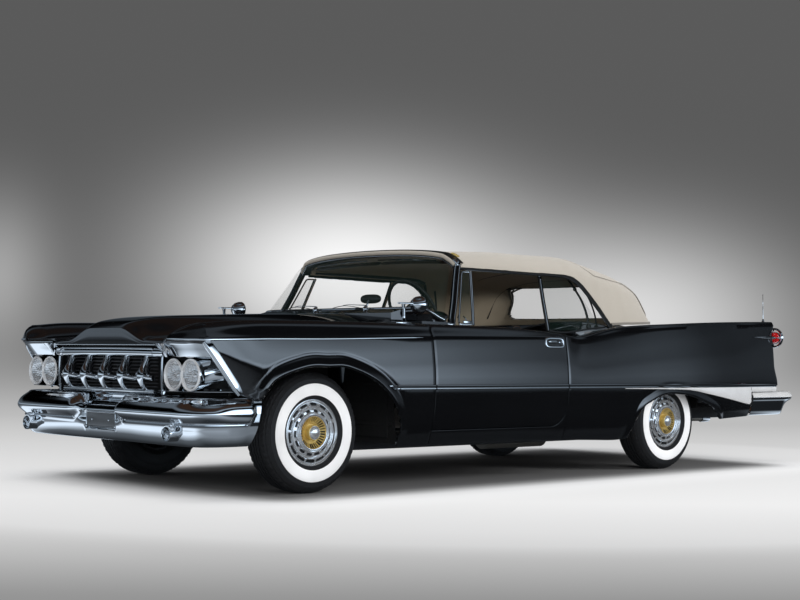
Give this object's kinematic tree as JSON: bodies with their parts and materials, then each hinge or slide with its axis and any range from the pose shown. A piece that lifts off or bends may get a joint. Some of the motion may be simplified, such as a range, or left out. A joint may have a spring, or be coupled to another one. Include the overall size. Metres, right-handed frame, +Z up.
{
  "type": "1950s two-door convertible car",
  "caption": "Large finned 1950s two-door convertible with a raised cream cloth top, turning and steered wheels, hinged doors, hood and trunk lid.",
  "frame": {"origin": "on the ground in the middle of the car's length and width", "axes": "+X forward, +Y to the car's left, +Z up"},
  "size_m": [5.748, 2.057, 1.511],
  "materials": {
    "body_paint": "deep gloss black",
    "chrome_trim": "polished",
    "clear_glass": "clear with a slight green tint",
    "canvas": "woven cream canvas",
    "seat_leather": "tan leather",
    "tyre_rubber": "black rubber with a white sidewall band",
    "chassis_paint": "satin black",
    "engine_iron": "rough",
    "lamp_red": "red lens in a bright ring",
    "exhaust_steel": "dull",
    "dash_paint": "semi gloss",
    "wheel_chrome": "polished wheel covers",
    "radiator_core": "black core"
  },
  "bodies": {
    "body": {"front_fender_left": "body_paint", "front_fender_right": "body_paint", "quarter_panel_left": "body_paint", "quarter_panel_right": "body_paint", "rear_deck": "body_paint", "tail_panel": "body_paint", "cowl": "body_paint", "windshield_frame": "chrome_trim", "grille": "chrome_trim", "front_bumper": "chrome_trim", "rear_bumper": "chrome_trim", "fender_mirrors": "chrome_trim", "aerial": "chrome_trim", "headlamps": "chrome_trim", "windshield": "clear_glass", "rear_window": "clear_glass", "quarter_glass": "clear_glass", "soft_top": "canvas", "front_seat": "seat_leather", "rear_seat": "seat_leather", "frame_rails": "chassis_paint", "floor_pan": "chassis_paint", "trunk_floor": "chassis_paint", "inner_fenders": "chassis_paint", "suspension_arms": "chassis_paint", "leaf_springs": "chassis_paint", "rear_axle": "chassis_paint", "drive_shaft": "chassis_paint", "fuel_tank": "chassis_paint", "engine": "engine_iron", "tail_lamps": "lamp_red", "exhaust": "exhaust_steel", "dashboard": "dash_paint", "steering_column": "dash_paint", "radiator": "radiator_core"},
    "knuckle_left": {"knuckle_left": "chassis_paint"},
    "knuckle_right": {"knuckle_right": "chassis_paint"},
    "wheel_front_left": {"tyre_front_left": "tyre_rubber", "wheel_front_left": "wheel_chrome"},
    "wheel_front_right": {"tyre_front_right": "tyre_rubber", "wheel_front_right": "wheel_chrome"},
    "wheel_rear_left": {"tyre_rear_left": "tyre_rubber", "wheel_rear_left": "wheel_chrome"},
    "wheel_rear_right": {"tyre_rear_right": "tyre_rubber", "wheel_rear_right": "wheel_chrome"},
    "door_left": {"door_left": "body_paint", "vent_window_left": "clear_glass"},
    "door_right": {"door_right": "body_paint", "vent_window_right": "clear_glass"},
    "hood": {"hood": "body_paint"},
    "trunk_lid": {"trunk_lid": "body_paint"},
    "steering_wheel": {"steering_wheel": "dash_paint"}
  },
  "joints": [
    {"name": "steer_left", "type": "hinge", "parent": "body", "child": "knuckle_left", "pos_m": [1.954, 0.715, 0.345], "axis": [0, 0, 1], "range_deg": [-30, 30]},
    {"name": "steer_right", "type": "hinge", "parent": "body", "child": "knuckle_right", "pos_m": [1.954, -0.715, 0.345], "axis": [0, 0, 1], "range_deg": [-30, 30]},
    {"name": "steering_wheel_turn", "type": "hinge", "parent": "body", "child": "steering_wheel", "pos_m": [0.716, 0.38, 1.09], "axis": [-0.891, 0, 0.454], "range_deg": [-480, 480]},
    {"name": "spin_front_left", "type": "hinge", "parent": "knuckle_left", "child": "wheel_front_left", "pos_m": [1.954, 0.785, 0.345], "axis": [0, 1, 0], "continuous": true},
    {"name": "spin_front_right", "type": "hinge", "parent": "knuckle_right", "child": "wheel_front_right", "pos_m": [1.954, -0.785, 0.345], "axis": [0, 1, 0], "continuous": true},
    {"name": "spin_rear_left", "type": "hinge", "parent": "body", "child": "wheel_rear_left", "pos_m": [-1.323, 0.7925, 0.345], "axis": [0, 1, 0], "continuous": true},
    {"name": "spin_rear_right", "type": "hinge", "parent": "body", "child": "wheel_rear_right", "pos_m": [-1.323, -0.7925, 0.345], "axis": [0, 1, 0], "continuous": true},
    {"name": "door_left_hinge", "type": "hinge", "parent": "body", "child": "door_left", "pos_m": [1.098, 1.0245, 0.66], "axis": [0, 0, -1], "range_deg": [0, 65]},
    {"name": "door_right_hinge", "type": "hinge", "parent": "body", "child": "door_right", "pos_m": [1.098, -1.0245, 0.66], "axis": [0, 0, 1], "range_deg": [0, 65]},
    {"name": "hood_hinge", "type": "hinge", "parent": "body", "child": "hood", "pos_m": [1.206, 0, 1.056], "axis": [0, -1, 0], "range_deg": [0, 50]},
    {"name": "trunk_hinge", "type": "hinge", "parent": "body", "child": "trunk_lid", "pos_m": [-1.542, 0, 1.052], "axis": [0, 1, 0], "range_deg": [0, 60]}
  ],
  "couplings": [
    {"joint": "steer_right", "follows": "steer_left", "ratio": 1},
    {"joint": "steering_wheel_turn", "follows": "steer_left", "ratio": 16}
  ]
}
